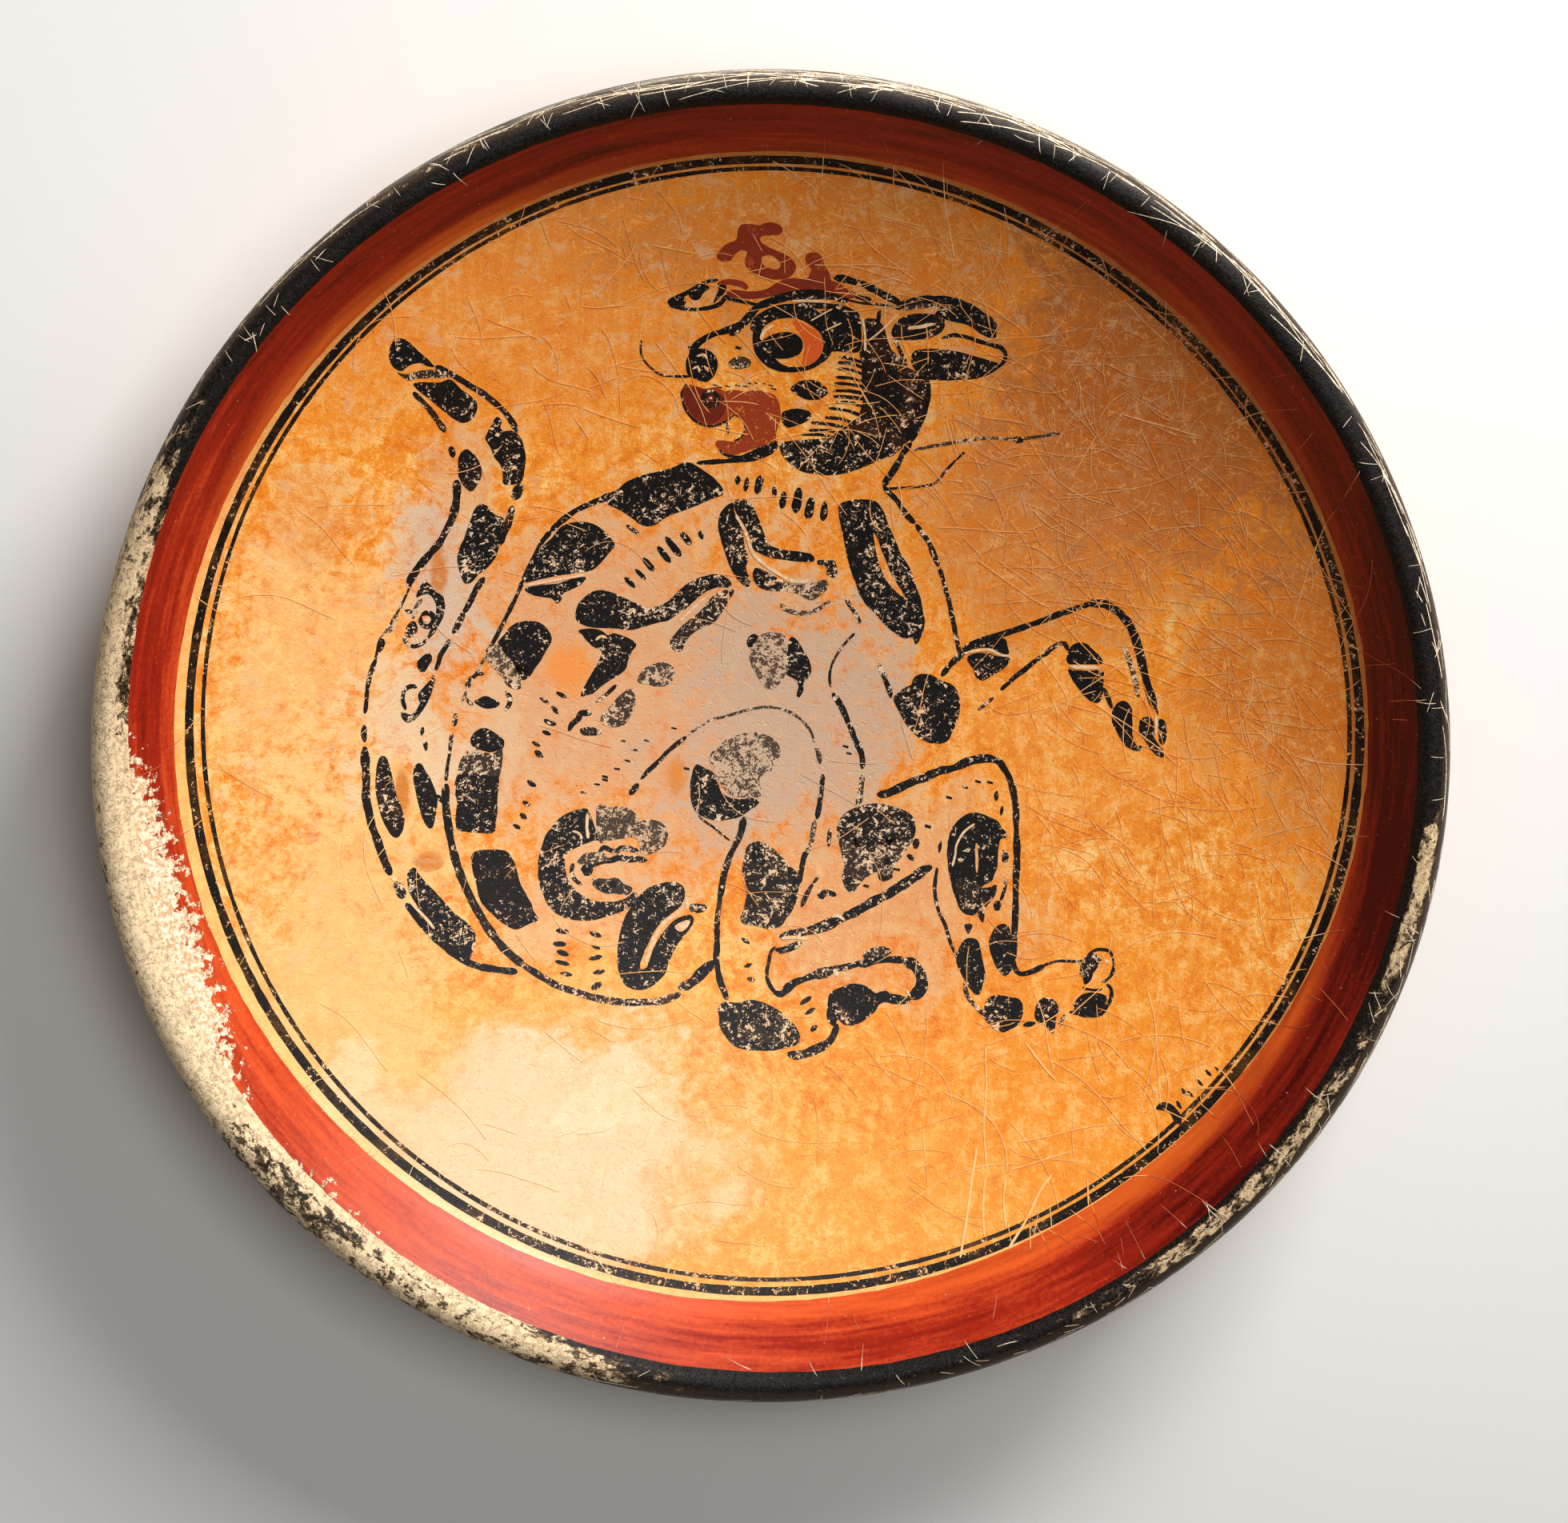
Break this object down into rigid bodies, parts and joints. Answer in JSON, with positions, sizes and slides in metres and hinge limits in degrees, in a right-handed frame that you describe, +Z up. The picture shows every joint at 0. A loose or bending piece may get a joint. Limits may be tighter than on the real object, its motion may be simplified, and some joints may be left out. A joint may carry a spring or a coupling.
{
  "type": "painted ceramic dish",
  "caption": "Shallow slip-painted ceramic dish with a bowed floor, a flaring wall, a rounded lip and a ring foot, for serving food.",
  "frame": {"origin": "centre of the foot's underside, on the surface that the dish stands on", "axes": "+Z up out of the dish; +Y towards the top of the painted picture, +X to its right"},
  "size_m": [0.3001, 0.3023, 0.0552],
  "materials": {
    "fired_clay": "matte",
    "orange_slip": "satin",
    "outside_slip": "satin",
    "black_paint": "satin",
    "red_paint": "satin",
    "lip_black": "satin"
  },
  "bodies": {
    "root": {"base_slab": "fired_clay", "floor_coil": "fired_clay", "wall_coil": "fired_clay", "rim_coil": "fired_clay", "ring_foot": "fired_clay", "interior_slip": "orange_slip", "exterior_slip": "outside_slip", "thin_line_paint": "black_paint", "thick_line_paint": "black_paint", "red_band_paint": "red_paint", "lip_paint": "lip_black"}
  },
  "joints": []
}
